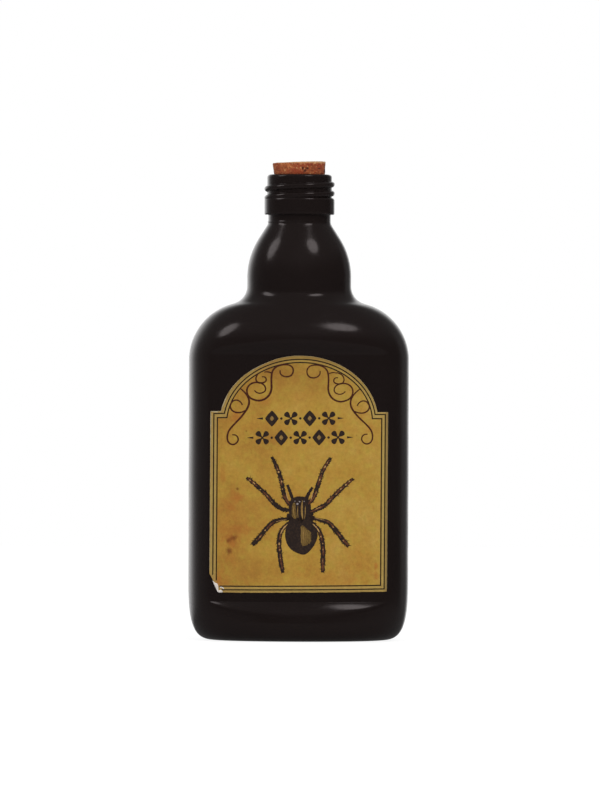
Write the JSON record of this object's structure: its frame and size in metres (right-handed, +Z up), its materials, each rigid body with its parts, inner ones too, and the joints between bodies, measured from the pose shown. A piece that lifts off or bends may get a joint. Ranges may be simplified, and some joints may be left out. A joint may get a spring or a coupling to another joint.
{
  "type": "poison bottle",
  "caption": "Flat flask bottle of opaque black glass with a tapered cork in its screw-threaded mouth and an aged paper label with an arched top and a drawn spider.",
  "frame": {"origin": "centre of the bounding box at the standing plane, on the bottle's upright axis", "axes": "+Z up along the neck, X along the wide side, -Y towards the viewer of the label"},
  "size_m": [0.0888, 0.0636, 0.1936],
  "materials": {
    "black_glass": "opaque black, polished",
    "cork": "natural cork, matte",
    "aged_paper": "yellowed printed paper, matte",
    "adhesive": "dried glue film"
  },
  "bodies": {
    "bottle": {"bottle": "black_glass", "label": "aged_paper", "label_adhesive": "adhesive"},
    "cork": {"cork_stopper": "cork"}
  },
  "joints": [
    {"name": "cork_pull", "type": "slide", "parent": "bottle", "child": "cork", "axis": [0, 0, 1], "range_m": [0, 0.05]}
  ]
}
